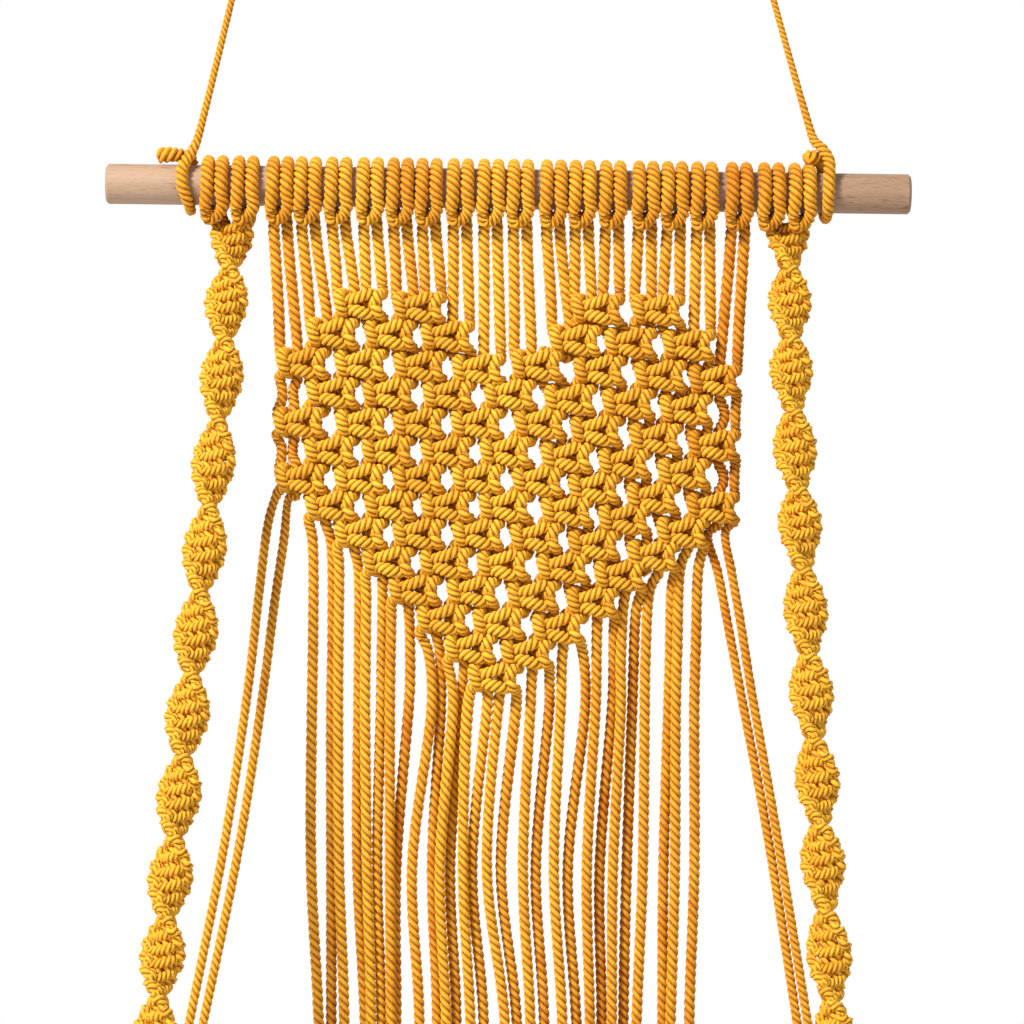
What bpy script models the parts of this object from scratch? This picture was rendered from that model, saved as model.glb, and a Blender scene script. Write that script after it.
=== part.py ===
"""Macrame wall shelf: a heart-shaped net of square knots and two twisted knot columns hang from a dowel
and carry a wooden board; a cord tied to both ends of the dowel hangs the whole piece on the wall.

X runs along the dowel, +Y towards the wall, +Z up. The origin is the top of the hanger cord, where it
rests on its hook. Everything below is laid out from the middle of the dowel and then moved down to it.
"""

import math

import bmesh
import bpy
from mathutils import Matrix, Vector

MM = 0.001
GAP = 0.3 * MM

# Dowel and hanger
DOWEL_CENTRE = Vector((19 * MM, 0, -612 * MM))
DOWEL_LENGTH = 400 * MM
DOWEL_RADIUS = 10 * MM
DOWEL_CHAMFER = 1.2 * MM
HANGER_CORD_RADIUS = 2.0 * MM
HANGER_HOOK_RADIUS = 4 * MM
HANGER_LEFT_X = -161 * MM
HANGER_RIGHT_X = 159 * MM
HANGER_KNOT_HEIGHT = 20 * MM
HANGER_KNOT_RADIUS = 6.5 * MM
HANGER_LEFT_TAIL = (16 * MM, 14.9 * MM)
HANGER_RIGHT_TAIL = (10 * MM, 18.6 * MM)
HANGER_TAIL_RADIUS = 2.8 * MM

# Board
BOARD_WIDTH = 380 * MM
BOARD_DEPTH = 150 * MM
BOARD_THICKNESS = 15 * MM
BOARD_TOP_DROP = 523 * MM
BOARD_BACK_Y = -4 * MM
BOARD_EDGE_BEVEL = 2 * MM
HOLE_RADIUS = 8 * MM
HOLE_X = 165 * MM
FRONT_HOLE_Y = -136 * MM
REAR_HOLE_Y = -22 * MM
PLUMB_ABOVE_BOARD = 12 * MM

# Cord and the loops that hold it on the dowel
CORD_RADIUS = 2.8 * MM
LOOP_INNER_RADIUS = DOWEL_RADIUS + GAP
LOOP_THICKNESS = 4.8 * MM
LOOP_WIDTH = 6.4 * MM
LOOP_SPACING = 7.2 * MM
LOOP_STEPS = 9
HITCH_COUNT = 16
HITCH_PITCH = 15.1 * MM
HITCH_BAR_LENGTH = 13.4 * MM
HITCH_BAR_RADIUS = 3 * MM

# Net of square knots: rows count down from the dowel, columns across from the left
NET_Y = 2 * MM
NET_FIRST_ROW_DROP = 59.6 * MM
NET_ROW_PITCH = 14.2 * MM
NET_COLUMN_PITCH = 29.03 * MM
NET_ROWS = 14
NET_COLUMNS = 8
NET_MIDDLE = (NET_COLUMNS - 1) / 2
NET_SAG_RIGHT = 0.165 * MM
NET_SAG_ROWS = 9.5
NET_SAG_CURVE = 1.8
KNOT_WIDTH = 24 * MM
KNOT_HALF_HEIGHT = 7.2 * MM
CROSSING_HEIGHT = 18.4 * MM
CROSSING_THICKNESS = 6 * MM
STRAND_OFFSETS = (-9 * MM, -3 * MM, 3 * MM, 9 * MM)
KNOT_PROFILE_MM = (
    # y, z
    (-3.4, 7.2),
    (-7.3, 5.4),
    (-7.3, 2.0),
    (-5.2, 0.0),
    (-7.3, -2.0),
    (-7.3, -5.4),
    (-3.4, -7.2),
    (3.4, -7.2),
    (6.8, -4.0),
    (6.8, 4.0),
    (3.4, 7.2),
)
FRINGE_DROP = 700 * MM
FRINGE_NARROWING = 0.93

# Twisted columns of half knots
COLUMN_TOP = Vector((-137.8 * MM, -1 * MM, -16.7 * MM))
COLUMN_HALF_TURN = 41.3 * MM
COLUMN_STEPS_PER_HALF_TURN = 8
COLUMN_HITCH_X = (-145.7 * MM, -130.5 * MM)
COLUMN_RIDGE_SCALE = 0.86
COLUMN_PROFILE_MM = ((-12, 0), (-5, -5.5), (5, -5.5), (12, 0), (5, 5.5), (-5, 5.5))

# Knots and tails under the board
REAR_KNOT_RADIUS = 9 * MM
FRONT_KNOT_RADIUS = 10.5 * MM
TAIL_LENGTH = 34 * MM
END_OFFSET = 3.1 * MM

for old in list(bpy.data.objects):
    bpy.data.objects.remove(old, do_unlink=True)

shelf = bpy.data.collections.new("macrame_wall_shelf")
bpy.context.scene.collection.children.link(shelf)


def material(name, colour, roughness):
    made = bpy.data.materials.new(name)
    made.use_nodes = True
    surface = made.node_tree.nodes["Principled BSDF"]
    surface.inputs["Base Color"].default_value = (*colour, 1)
    surface.inputs["Roughness"].default_value = roughness
    surface.inputs["Metallic"].default_value = 0
    return made


COTTON = material("mustard_cotton", (0.76, 0.42, 0.05), 0.9)
BEECH = material("pale_beech", (0.66, 0.47, 0.34), 0.6)
PINE = material("oiled_pine", (0.62, 0.40, 0.22), 0.5)


def to_mesh(made):
    """The evaluated mesh of a working object, which is then removed."""
    shelf.objects.link(made)
    bpy.context.view_layer.update()
    seen = made.evaluated_get(bpy.context.evaluated_depsgraph_get())
    mesh = bpy.data.meshes.new_from_object(seen)
    mesh.transform(made.matrix_world)
    bpy.data.objects.remove(made, do_unlink=True)
    return mesh


def welded(mesh):
    shape = bmesh.new()
    shape.from_mesh(mesh)
    bmesh.ops.remove_doubles(shape, verts=shape.verts, dist=0.00001)
    bmesh.ops.recalc_face_normals(shape, faces=shape.faces)
    shape.to_mesh(mesh)
    shape.free()
    return mesh


def copies(name, mesh, placements):
    """One mesh that holds a copy of another at each placement."""
    shape = bmesh.new()
    for placement in placements:
        placed = mesh.copy()
        placed.transform(placement)
        shape.from_mesh(placed)
        bpy.data.meshes.remove(placed)
    result = bpy.data.meshes.new(name)
    shape.to_mesh(result)
    shape.free()
    return result


def strands(name, paths, radius, resolution=0):
    """Capped tubes along the paths, with four sides, or two more for each step of resolution."""
    curve = bpy.data.curves.new(name, "CURVE")
    curve.dimensions = "3D"
    curve.bevel_depth = radius
    curve.bevel_resolution = resolution
    curve.use_fill_caps = True
    for path in paths:
        spline = curve.splines.new("POLY")
        spline.points.add(len(path) - 1)
        for point, place in zip(spline.points, path):
            point.co = (*place, 1)
    return welded(to_mesh(bpy.data.objects.new(name, curve)))


def prism(name, outline, depth):
    """A flat outline in Y and Z, extruded along X about the middle."""
    curve = bpy.data.curves.new(name, "CURVE")
    curve.dimensions = "2D"
    curve.fill_mode = "BOTH"
    curve.extrude = depth / 2
    spline = curve.splines.new("POLY")
    spline.points.add(len(outline) - 1)
    spline.use_cyclic_u = True
    for point, (y, z) in zip(spline.points, outline):
        point.co = (y, z, 0, 1)
    outline_object = bpy.data.objects.new(name, curve)
    outline_object.rotation_euler = (math.radians(90), 0, math.radians(90))
    return welded(to_mesh(outline_object))


def box(name, width, depth, height):
    shape = bmesh.new()
    bmesh.ops.create_cube(shape, size=1)
    bmesh.ops.scale(shape, vec=(width, depth, height), verts=shape.verts)
    mesh = bpy.data.meshes.new(name)
    shape.to_mesh(mesh)
    shape.free()
    return mesh


def ball(name, radius, height):
    shape = bmesh.new()
    bmesh.ops.create_uvsphere(shape, u_segments=9, v_segments=6, radius=radius)
    bmesh.ops.scale(shape, vec=(1, 1, height / (2 * radius)), verts=shape.verts)
    mesh = bpy.data.meshes.new(name)
    shape.to_mesh(mesh)
    shape.free()
    return mesh


def loop_mesh(name, thickness, width):
    """One turn of cord around the dowel: a bevelled band turned about X."""
    profile = bmesh.new()
    inner = LOOP_INNER_RADIUS / math.cos(math.pi / LOOP_STEPS)
    outer = inner + thickness
    corners = ((-0.5, inner), (-0.28, outer), (0.28, outer), (0.5, inner))
    ring = [profile.verts.new((across * width, 0, out)) for across, out in corners]
    for first, second in zip(ring, ring[1:] + ring[:1]):
        profile.edges.new((first, second))
    mesh = bpy.data.meshes.new(name)
    profile.to_mesh(mesh)
    profile.free()
    turned = bpy.data.objects.new(name, mesh)
    screw = turned.modifiers.new("turn", "SCREW")
    screw.axis = "X"
    screw.steps = LOOP_STEPS
    screw.render_steps = LOOP_STEPS
    screw.use_merge_vertices = True
    screw.merge_threshold = 0.00001
    return welded(to_mesh(turned))


def at(x, y=0.0, z=0.0):
    return Matrix.Translation((x, y, z))


def node(name, mesh, surface):
    """A finished sub-part, moved from the middle of the dowel to its place."""
    mesh.name = name
    mesh.materials.clear()
    mesh.materials.append(surface)
    mesh.shade_smooth()
    mesh.set_sharp_from_angle(angle=math.radians(35))
    made = bpy.data.objects.new(name, mesh)
    made.location = DOWEL_CENTRE
    shelf.objects.link(made)
    return made


def joined(name, meshes):
    """The union of meshes, each of which is free of overlaps in itself."""
    workings = bpy.data.collections.new(name + "_workings")
    bpy.context.scene.collection.children.link(workings)
    others = [bpy.data.objects.new(name, mesh) for mesh in meshes[1:]]
    for other in others:
        other.hide_render = True
        other.display_type = "WIRE"
        workings.objects.link(other)
    body = bpy.data.objects.new(name, meshes[0])
    for other in others:
        union = body.modifiers.new("union", "BOOLEAN")
        union.operation = "UNION"
        union.object = other
    result = to_mesh(body)
    for other in others:
        bpy.data.objects.remove(other, do_unlink=True)
    bpy.data.collections.remove(workings)
    return result


def knot_place(row, column):
    """Centre of a net knot; the right half of the net sags a little."""
    across = (column - NET_MIDDLE) * NET_COLUMN_PITCH
    drop = NET_FIRST_ROW_DROP + (row - 1) * NET_ROW_PITCH
    beyond = max(0.0, column - NET_MIDDLE)
    sag = NET_SAG_RIGHT * min(row, NET_SAG_ROWS) * beyond**NET_SAG_CURVE
    return Vector((across, NET_Y, -drop - sag))


def has_knot(row, column):
    """Heart outline: two lobes in the first rows, full width to row 7, then a point."""
    spread = abs(column - NET_MIDDLE)
    return (4 - row) / 2 <= spread <= min(NET_MIDDLE, 2 + row / 2, 7 - row / 2)


def knots_in(row):
    first = 0 if row % 2 else 0.5
    columns = [first + step for step in range(NET_COLUMNS)]
    return [column for column in columns if column <= NET_COLUMNS - 1 and has_knot(row, column)]


def strand_knots(number):
    """Knots that a strand, numbered from 0 at the left, passes through, as (row, column, offset)."""
    passed = []
    for row in range(1, NET_ROWS + 1):
        for column in knots_in(row):
            seat = number - int(4 * column)
            if 0 <= seat < 4:
                passed.append((row, column, STRAND_OFFSETS[seat]))
    return passed


def hitch_x(index):
    return (index - (HITCH_COUNT - 1) / 2) * HITCH_PITCH


def strand_top(number):
    side = -0.5 if number % 2 == 0 else 0.5
    return Vector((hitch_x(number // 2) + side * LOOP_SPACING, 0, -13 * MM))


def seat_place(stop, lift):
    row, column, offset = stop
    return knot_place(row, column) + Vector((offset, 0, lift))


def dowel():
    bpy.ops.mesh.primitive_cylinder_add(vertices=32, radius=DOWEL_RADIUS, depth=DOWEL_LENGTH)
    turned = bpy.context.active_object
    turned.name = "dowel"
    turned.rotation_euler = (0, math.radians(90), 0)
    turned.location = DOWEL_CENTRE
    bevel = turned.modifiers.new("chamfer", "BEVEL")
    bevel.width = DOWEL_CHAMFER
    bevel.segments = 1
    bevel.limit_method = "ANGLE"
    turned.data.materials.append(BEECH)
    turned.data.shade_smooth()
    turned.data.set_sharp_from_angle(angle=math.radians(35))
    for holder in list(turned.users_collection):
        holder.objects.unlink(turned)
    shelf.objects.link(turned)


def board():
    slab = bpy.data.objects.new("slab", box("slab", BOARD_WIDTH, BOARD_DEPTH, BOARD_THICKNESS))
    middle_y = BOARD_BACK_Y - BOARD_DEPTH / 2
    slab.location = (0, middle_y, -BOARD_TOP_DROP - BOARD_THICKNESS / 2)
    bevel = slab.modifiers.new("eased_edges", "BEVEL")
    bevel.width = BOARD_EDGE_BEVEL
    bevel.segments = 2
    drills = bpy.data.collections.new("drills")
    bpy.context.scene.collection.children.link(drills)
    for x in (-HOLE_X, HOLE_X):
        for y in (FRONT_HOLE_Y, REAR_HOLE_Y):
            place = (x, y, -BOARD_TOP_DROP)
            bpy.ops.mesh.primitive_cylinder_add(
                vertices=24, radius=HOLE_RADIUS, depth=4 * BOARD_THICKNESS, location=place
            )
            drill = bpy.context.active_object
            drill.hide_render = True
            drill.display_type = "WIRE"
            for holder in list(drill.users_collection):
                holder.objects.unlink(drill)
            drills.objects.link(drill)
            cut = slab.modifiers.new("cord_hole", "BOOLEAN")
            cut.operation = "DIFFERENCE"
            cut.object = drill
    mesh = to_mesh(slab)
    for drill in list(drills.objects):
        bpy.data.objects.remove(drill, do_unlink=True)
    bpy.data.collections.remove(drills)
    node("shelf_board", mesh, PINE)


def hitch_bar(x):
    """The bar of a lark's head, across the front below the dowel, a little higher at its right end."""
    half = HITCH_BAR_LENGTH / 2
    left = Vector((x - half, -6.5 * MM, -16.4 * MM))
    right = Vector((x + half, -6.5 * MM, -14.6 * MM))
    return [left, right]


def board_tail(x, y, spread, knot_drop):
    """A trimmed end below a board knot, leaning outwards by its spread."""
    start = Vector((x, y, -knot_drop - 2 * MM))
    return [start, start + Vector((spread, 0, -TAIL_LENGTH))]


def rear_path(number, hole_x, knot_drop):
    """A free edge strand, from just below its last net knot down to the rear corner of the board."""
    last = strand_knots(number)[-1]
    seat = -1 if number % 2 == 0 else 1
    x = hole_x + seat * (CORD_RADIUS + GAP)
    return [
        seat_place(last, -KNOT_HALF_HEIGHT - GAP),
        seat_place(last, -KNOT_HALF_HEIGHT - 4 * MM),
        Vector((x, REAR_HOLE_Y, -BOARD_TOP_DROP + PLUMB_ABOVE_BOARD)),
        Vector((x, REAR_HOLE_Y, -knot_drop + 2 * MM)),
    ]


def heart_net():
    loop = loop_mesh("loop", LOOP_THICKNESS, LOOP_WIDTH)
    count = 2 * HITCH_COUNT
    loops = copies("loops", loop, [at(strand_top(number).x) for number in range(count)])
    bars = strands("bars", [hitch_bar(hitch_x(i)) for i in range(HITCH_COUNT)], HITCH_BAR_RADIUS, 1)

    ridged = prism("ridged", [(y * MM, z * MM) for y, z in KNOT_PROFILE_MM], KNOT_WIDTH)
    crossing = box("crossing", KNOT_WIDTH, CROSSING_THICKNESS, CROSSING_HEIGHT)
    ridged_places = []
    crossing_places = []
    for row in range(1, NET_ROWS + 1):
        places = [Matrix.Translation(knot_place(row, column)) for column in knots_in(row)]
        if row % 2:
            ridged_places += places
        else:
            crossing_places += places

    hanging = []
    fringe = []
    for number in range(count):
        passed = strand_knots(number)
        hanging.append([strand_top(number), seat_place(passed[0], 4 * MM)])
        edge_number = min(number, count - 1 - number)
        if edge_number < 2:
            for above, below in zip(passed, passed[1:]):
                middle = (seat_place(above, 0) + seat_place(below, 0)) / 2
                middle.x += math.copysign(2 * MM, middle.x)
                hanging.append([seat_place(above, -4 * MM), middle, seat_place(below, 4 * MM)])
        else:
            start = seat_place(passed[-1], -3 * MM)
            end = Vector((start.x * FRINGE_NARROWING, start.y, -FRINGE_DROP))
            fringe.append([start, end])

    shapes = [
        copies("ridged_knots", ridged, ridged_places),
        copies("crossings", crossing, crossing_places),
        strands("hanging", hanging, CORD_RADIUS),
        loops,
        bars,
        strands("fringe", fringe, CORD_RADIUS),
    ]
    node("heart_net", joined("heart_net", shapes), COTTON)


def rear_cords(name, side):
    """The two edge strands of the net on one side, drawn through the board's rear hole and knotted."""
    hole_x = side * HOLE_X
    knot_drop = BOARD_TOP_DROP + BOARD_THICKNESS + GAP + REAR_KNOT_RADIUS
    first = 0 if side < 0 else 2 * HITCH_COUNT - 2
    paths = [rear_path(number, hole_x, knot_drop) for number in (first, first + 1)]
    spreads = (-4 * MM, 4 * MM)
    tails = [board_tail(hole_x + spread, REAR_HOLE_Y, spread, knot_drop) for spread in spreads]
    knot = ball("knot", REAR_KNOT_RADIUS, 2 * REAR_KNOT_RADIUS)
    shapes = [
        strands("cords", paths, CORD_RADIUS, 1),
        copies("knots", knot, [at(hole_x, REAR_HOLE_Y, -knot_drop)]),
        strands("tails", tails, CORD_RADIUS),
    ]
    node(name, joined(name, shapes), COTTON)


def twisted_column(name, path):
    """A ridged flat braid that turns left-handed about its path, half a turn for each bulge."""
    profile = bpy.data.curves.new(name + "_profile", "CURVE")
    profile.dimensions = "2D"
    outline = profile.splines.new("POLY")
    outline.points.add(len(COLUMN_PROFILE_MM) - 1)
    outline.use_cyclic_u = True
    for point, (x, y) in zip(outline.points, COLUMN_PROFILE_MM):
        point.co = (x * MM, y * MM, 0, 1)
    profile_object = bpy.data.objects.new(name + "_profile", profile)
    shelf.objects.link(profile_object)
    curve = bpy.data.curves.new(name, "CURVE")
    curve.dimensions = "3D"
    curve.twist_mode = "MINIMUM"
    curve.bevel_mode = "OBJECT"
    curve.bevel_object = profile_object
    curve.use_fill_caps = True
    start, end = path
    length = (end - start).length
    steps = round(length / COLUMN_HALF_TURN * COLUMN_STEPS_PER_HALF_TURN)
    spline = curve.splines.new("POLY")
    spline.points.add(steps)
    for index, point in enumerate(spline.points):
        place = start.lerp(end, index / steps)
        point.co = (*place, 1)
        point.tilt = -math.pi * index / COLUMN_STEPS_PER_HALF_TURN
        point.radius = 1 if index % 2 else COLUMN_RIDGE_SCALE
    mesh = welded(to_mesh(bpy.data.objects.new(name, curve)))
    bpy.data.objects.remove(profile_object, do_unlink=True)
    return mesh


def knot_column(name, side):
    """Two lark's heads, the twisted half knots, and the ends drawn through the board and knotted."""
    loop = loop_mesh("loop", LOOP_THICKNESS, LOOP_WIDTH)
    centres = [-side * x for x in COLUMN_HITCH_X]
    loop_places = [at(x + half * LOOP_SPACING) for x in centres for half in (-0.5, 0.5)]
    top = Vector((-side * COLUMN_TOP.x, COLUMN_TOP.y, COLUMN_TOP.z))
    foot = Vector((side * HOLE_X, FRONT_HOLE_Y, -BOARD_TOP_DROP + PLUMB_ABOVE_BOARD))
    knot_drop = BOARD_TOP_DROP + BOARD_THICKNESS + GAP + FRONT_KNOT_RADIUS
    ends = []
    tails = []
    for x in (-END_OFFSET, END_OFFSET):
        for y in (-END_OFFSET, END_OFFSET):
            above = foot + Vector((x, y, 4 * MM))
            below = Vector((foot.x + x, foot.y + y, -knot_drop + 2 * MM))
            ends.append([above, below])
            tails.append(board_tail(foot.x + 1.3 * x, foot.y + 1.3 * y, x, knot_drop))
    knot = ball("knot", FRONT_KNOT_RADIUS, 2 * FRONT_KNOT_RADIUS)
    shapes = [
        twisted_column("braid", (top, foot)),
        copies("loops", loop, loop_places),
        strands("bars", [hitch_bar(x) for x in centres], HITCH_BAR_RADIUS, 1),
        strands("ends", ends, CORD_RADIUS),
        copies("knots", knot, [at(foot.x, foot.y, -knot_drop)]),
        strands("tails", tails, CORD_RADIUS),
    ]
    node(name, joined(name, shapes), COTTON)


def hanger():
    """The hanging cord: a hitch with a trimmed end on each end of the dowel, and the bend over its hook."""
    loop = loop_mesh("loop", 2 * HANGER_CORD_RADIUS, LOOP_WIDTH)
    apex = -DOWEL_CENTRE
    bend = []
    for step in range(5):
        angle = math.radians(165 - 37.5 * step)
        across = HANGER_HOOK_RADIUS * math.cos(angle)
        up = HANGER_HOOK_RADIUS * (math.sin(angle) - 1) - HANGER_CORD_RADIUS
        bend.append(apex + Vector((across, 0, up)))
    left = Vector((HANGER_LEFT_X + 3 * MM, 0, HANGER_KNOT_HEIGHT))
    right = Vector((HANGER_RIGHT_X - 3 * MM, 0, HANGER_KNOT_HEIGHT))
    knot = ball("knot", HANGER_KNOT_RADIUS, 2 * HANGER_KNOT_RADIUS)
    tails = []
    for x, (length, height) in ((HANGER_LEFT_X, HANGER_LEFT_TAIL), (HANGER_RIGHT_X, HANGER_RIGHT_TAIL)):
        start = Vector((x - 2 * MM, 0, height))
        tails.append([start, start + Vector((-length, 0, -0.4 * MM))])
    shapes = [
        strands("line", [[left] + bend + [right]], HANGER_CORD_RADIUS, 1),
        copies("loops", loop, [at(HANGER_LEFT_X), at(HANGER_RIGHT_X)]),
        copies("knots", knot, [Matrix.Translation(left), Matrix.Translation(right)]),
        strands("tails", tails, HANGER_TAIL_RADIUS, 1),
    ]
    node("hanger_cord", joined("hanger_cord", shapes), COTTON)


dowel()
board()
heart_net()
rear_cords("rear_cords_left", -1)
rear_cords("rear_cords_right", 1)
knot_column("knot_column_left", -1)
knot_column("knot_column_right", 1)
hanger()
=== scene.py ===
"""Macrame wall shelf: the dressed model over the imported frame.

Every strand is a real three-ply cord, carried along the route it takes in the knots. Lengths in the
tables are millimetres from the middle of the dowel: x to the right, y to the wall, z up.
"""

import math

import bpy
import numpy as np
from bpy.props import FloatProperty, FloatVectorProperty, PointerProperty
from mathutils import Euler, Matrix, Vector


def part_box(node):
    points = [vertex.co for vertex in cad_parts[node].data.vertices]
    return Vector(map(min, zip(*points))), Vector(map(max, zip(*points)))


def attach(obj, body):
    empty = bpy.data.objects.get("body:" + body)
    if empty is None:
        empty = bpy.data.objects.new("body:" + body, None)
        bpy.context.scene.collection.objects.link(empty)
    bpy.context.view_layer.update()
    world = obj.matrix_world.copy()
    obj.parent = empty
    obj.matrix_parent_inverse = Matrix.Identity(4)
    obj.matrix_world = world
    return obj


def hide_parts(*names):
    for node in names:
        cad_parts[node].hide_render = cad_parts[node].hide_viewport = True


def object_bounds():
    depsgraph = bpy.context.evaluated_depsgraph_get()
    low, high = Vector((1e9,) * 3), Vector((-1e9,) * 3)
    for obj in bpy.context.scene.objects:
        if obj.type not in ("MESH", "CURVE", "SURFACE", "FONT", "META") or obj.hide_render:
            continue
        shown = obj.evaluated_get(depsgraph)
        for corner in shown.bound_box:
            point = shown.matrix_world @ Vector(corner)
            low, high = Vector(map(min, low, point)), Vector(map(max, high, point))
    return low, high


bl_info = {
    "name": "Macrame Wall Shelf",
    "version": (1, 0, 0),
    "blender": (4, 5, 0),
    "location": "3D View > Sidebar > Shelf",
    "description": "Cord, knots, dowel and board of a heart-shaped macrame wall shelf",
    "category": "Object",
}

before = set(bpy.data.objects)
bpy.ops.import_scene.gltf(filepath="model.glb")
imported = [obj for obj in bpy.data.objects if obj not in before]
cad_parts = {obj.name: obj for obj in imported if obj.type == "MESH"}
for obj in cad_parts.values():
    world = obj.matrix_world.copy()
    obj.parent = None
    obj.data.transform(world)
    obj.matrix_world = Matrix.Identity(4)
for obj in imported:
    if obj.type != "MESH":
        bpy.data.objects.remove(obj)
CAD_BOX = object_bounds()
MM = 0.001
DOWEL_LOW, DOWEL_HIGH = (np.array(corner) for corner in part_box("dowel"))
DOWEL_MIDDLE = (DOWEL_LOW + DOWEL_HIGH) / 2
BOARD_LOW, BOARD_HIGH = (np.array(corner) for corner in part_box("shelf_board"))

# Centres of the 16 hitches of the net, and of the two hitches of each column, across the dowel
NET_HITCHES = (
    -113.3, -99.4, -84.2, -68.5, -53.6, -39.3, -23.8, -8.6,
    6.1, 22.5, 36.8, 51.9, 68.3, 82.6, 97.3, 114.6,
)
COLUMN_HITCHES = (-145.7, -130.5, 130.6, 145.7)
HALF_HITCH = 3.5
HITCH_LAST = len(NET_HITCHES) - 1

# Net knots, row by row from the top: first column number, then (x, z) of each knot of the run
NET_ROWS = (
    (1, ((-73.2, -59.2), (-43.8, -60.4))),
    (5, ((44.9, -60.2), (74.8, -60.3))),
    (0.5, ((-86.5, -73.9), (-57.6, -74.0), (-29.7, -74.6))),
    (4.5, ((34.1, -75.8), (61.5, -76.9), (90.4, -77.5))),
    (0, (
        (-101.2, -89.0), (-72.3, -89.1), (-42.9, -89.7), (-14.0, -90.9),
        (15.4, -88.5), (46.3, -90.6), (76.7, -92.7), (103.6, -94.8),
    )),
    (0.5, (
        (-86.1, -103.3), (-58.2, -103.4), (-28.3, -103.5), (2.1, -103.1),
        (32.0, -105.3), (60.9, -106.8), (89.4, -109.4),
    )),
    (0, (
        (-102.3, -118.4), (-71.4, -118.5), (-43.0, -118.1), (-14.2, -117.8),
        (17.2, -117.3), (45.2, -120.5), (74.6, -124.1), (103.5, -127.2),
    )),
    (0.5, (
        (-86.7, -132.2), (-58.3, -131.8), (-28.9, -131.9), (0.4, -131.5),
        (30.9, -134.0), (59.3, -136.3), (88.8, -141.0),
    )),
    (0, (
        (-101.0, -146.3), (-71.6, -145.9), (-42.7, -145.5), (-13.3, -145.1),
        (16.6, -145.9), (44.5, -148.9), (73.5, -153.5), (103.4, -158.0),
    )),
    (0.5, (
        (-85.8, -159.7), (-56.5, -159.0), (-28.6, -159.0), (0.3, -158.6),
        (31.2, -160.5), (59.7, -164.3), (88.6, -170.4),
    )),
    (1, (
        (-71.2, -173.0), (-42.3, -172.8), (-12.9, -172.6), (16.0, -173.9),
        (44.9, -177.0), (74.3, -182.2),
    )),
    (1.5, ((-57.1, -187.0), (-28.7, -187.0), (-0.3, -187.8), (29.6, -188.7), (58.0, -192.3))),
    (2, ((-44.0, -200.9), (-15.1, -201.2), (15.0, -202.9), (44.3, -205.6))),
    (2.5, ((-29.8, -215.1), (-2.0, -216.6), (27.5, -218.9))),
    (3, ((-15.8, -229.3), (12.2, -231.6))),
    (3.5, ((-4.0, -243.9),)),
)
RUN_ROWS = (1, 1, 2, 2, 3, 4, 5, 6, 7, 8, 9, 10, 11, 12, 13, 14)
STRAND_SEATS = (-11.2, -2.9, 2.9, 11.2)

# Square knot: route of its four cords from top to bottom, about the middle of the knot
# x, y, z, radius
LEFT_TYING = (
    (-11.2, 0.0, 5.6, 3.1), (-10.2, -1.6, 3.0, 3.0), (-7.4, -4.4, 2.0, 2.9), (-4.0, -6.2, 2.9, 3.0),
    (0.4, -6.8, 4.3, 3.1), (4.2, -6.0, 5.8, 3.0), (7.0, -2.8, 5.9, 2.7), (8.6, 0.6, 3.6, 2.7),
    (8.6, 1.0, -0.6, 2.7), (7.6, -2.2, -4.0, 2.8), (4.4, -6.0, -4.4, 3.2), (0.6, -7.0, -3.3, 3.5),
    (-3.2, -6.4, -2.4, 3.2), (-6.6, -4.0, -2.4, 2.9), (-9.4, -1.6, -3.8, 2.9), (-11.3, -0.2, -5.6, 3.1),
)
RIGHT_TYING = (
    (11.2, 0.0, 5.8, 3.1), (10.4, -3.8, 6.0, 3.0), (8.9, -7.0, 4.8, 2.9), (8.0, -7.2, 2.0, 2.9),
    (6.4, -4.0, 0.4, 2.6), (4.4, 1.6, 0.6, 2.6), (0.0, 5.6, 2.8, 2.8), (-5.2, 4.4, 5.2, 2.7),
    (-8.4, -0.6, 6.4, 2.8), (-10.2, -6.0, 4.9, 3.1), (-10.0, -7.4, 1.4, 3.3), (-8.8, -6.4, -2.0, 3.1),
    (-7.0, -0.6, -4.4, 2.7), (-4.0, 4.4, -4.4, 2.7), (0.0, 5.6, -3.2, 2.8), (5.0, 2.6, -1.0, 2.6),
    (7.4, -4.0, 0.0, 2.7), (8.6, -7.2, -2.2, 3.0), (9.8, -5.0, -4.6, 3.0), (11.3, -1.0, -5.8, 3.1),
)

# Fringe: x of the 28 strands, left to right, at three heights
FRINGE_HEIGHTS = (-255.0, -339.0, -409.0)
FRINGE_X = (
    (
        -94.5, -85.1, -81.6, -71.6, -68.1, -60.2, -55.7, -46.2, -34.8, -30.3, -24.3, -19.8, -11.9, -4.9,
        2.1, 9.6, 14.5, 24.0, 29.5, 41.9, 46.9, 55.4, 59.4, 65.3, 71.3, 83.3, 86.8, 96.2,
    ),
    (
        -93.9, -84.0, -80.0, -71.0, -66.0, -61.1, -54.6, -51.6, -43.6, -33.7, -29.7, -24.7, -18.2, -13.7,
        -6.3, 0.7, 11.7, 18.1, 27.1, 34.1, 43.5, 50.0, 56.5, 63.5, 71.4, 81.9, 87.4, 97.3,
    ),
    (
        -89.5, -83.1, -76.6, -66.6, -63.1, -58.2, -53.2, -50.7, -39.2, -30.3, -25.8, -20.8, -13.8, -7.3,
        3.1, 9.1, 16.1, 23.0, 32.0, 39.0, 45.9, 51.9, 56.9, 62.9, 69.4, 82.3, 86.3, 95.8,
    ),
)
FRINGE_END = -698.0
FRINGE_FRONT_Y = 1.2
FRINGE_BACK_Y = 5.6

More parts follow.
